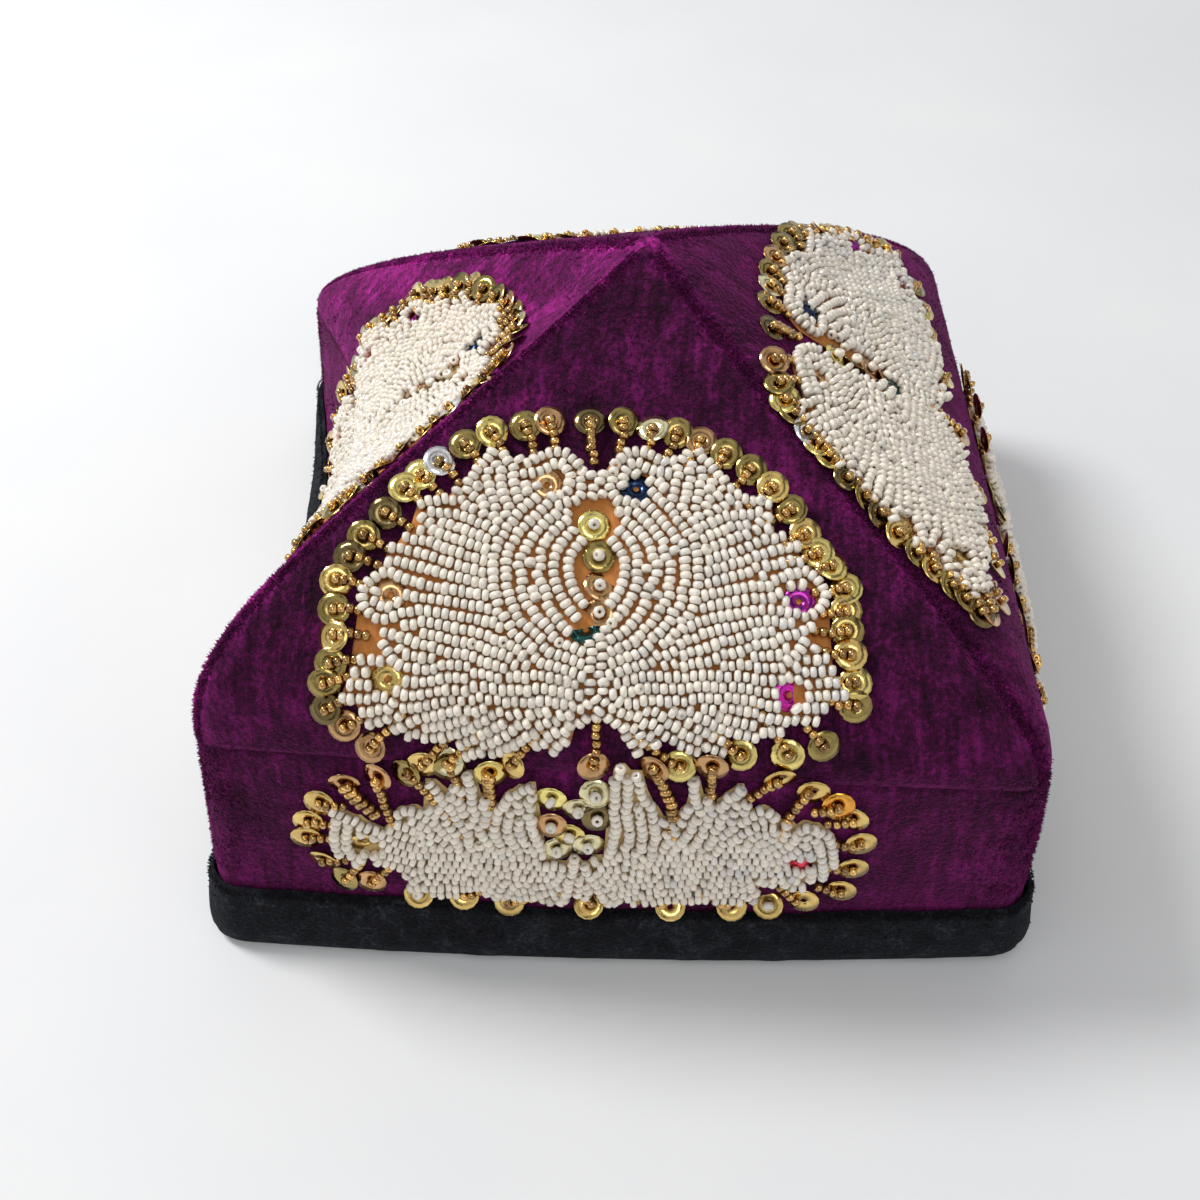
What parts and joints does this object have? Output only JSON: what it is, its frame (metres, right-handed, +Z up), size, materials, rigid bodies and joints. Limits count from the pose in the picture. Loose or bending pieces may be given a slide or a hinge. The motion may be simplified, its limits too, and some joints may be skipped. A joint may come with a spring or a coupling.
{
  "type": "beaded square kufi cap",
  "caption": "Square velvet cap with a slanted band, four pointed crown panels, a dark bound rim and raised bead and sequin motifs on each side.",
  "frame": {"origin": "centre of the lower edge's bounding square, on the surface that the cap rests on", "axes": "+Z up to the crown's point, +X to the wearer's side, -Y to the side that faces the picture"},
  "size_m": [0.1466, 0.1483, 0.09],
  "materials": {
    "velvet": "crushed purple silk velvet",
    "binding_velvet": "black velvet tape",
    "white_beads": "pearly cream glass seed beads",
    "gold_beads": "silver-lined bronze-gold glass seed beads",
    "gold_sequins": "shiny metallised sequins",
    "paper_template": "plain orange-tan paper under the beads"
  },
  "bodies": {
    "root": {"binding": "binding_velvet", "band": "velvet", "crown_gore_front": "velvet", "beadwork_crown_front": "white_beads", "sequins_crown_front": "gold_sequins", "beadwork_band_front": "white_beads", "sequins_band_front": "gold_sequins", "crown_gore_right": "velvet", "beadwork_crown_right": "white_beads", "sequins_crown_right": "gold_sequins", "beadwork_band_right": "white_beads", "sequins_band_right": "gold_sequins", "crown_gore_back": "velvet", "beadwork_crown_back": "white_beads", "sequins_crown_back": "gold_sequins", "beadwork_band_back": "white_beads", "sequins_band_back": "gold_sequins", "crown_gore_left": "velvet", "beadwork_crown_left": "white_beads", "sequins_crown_left": "gold_sequins", "beadwork_band_left": "white_beads", "sequins_band_left": "gold_sequins"}
  },
  "joints": []
}
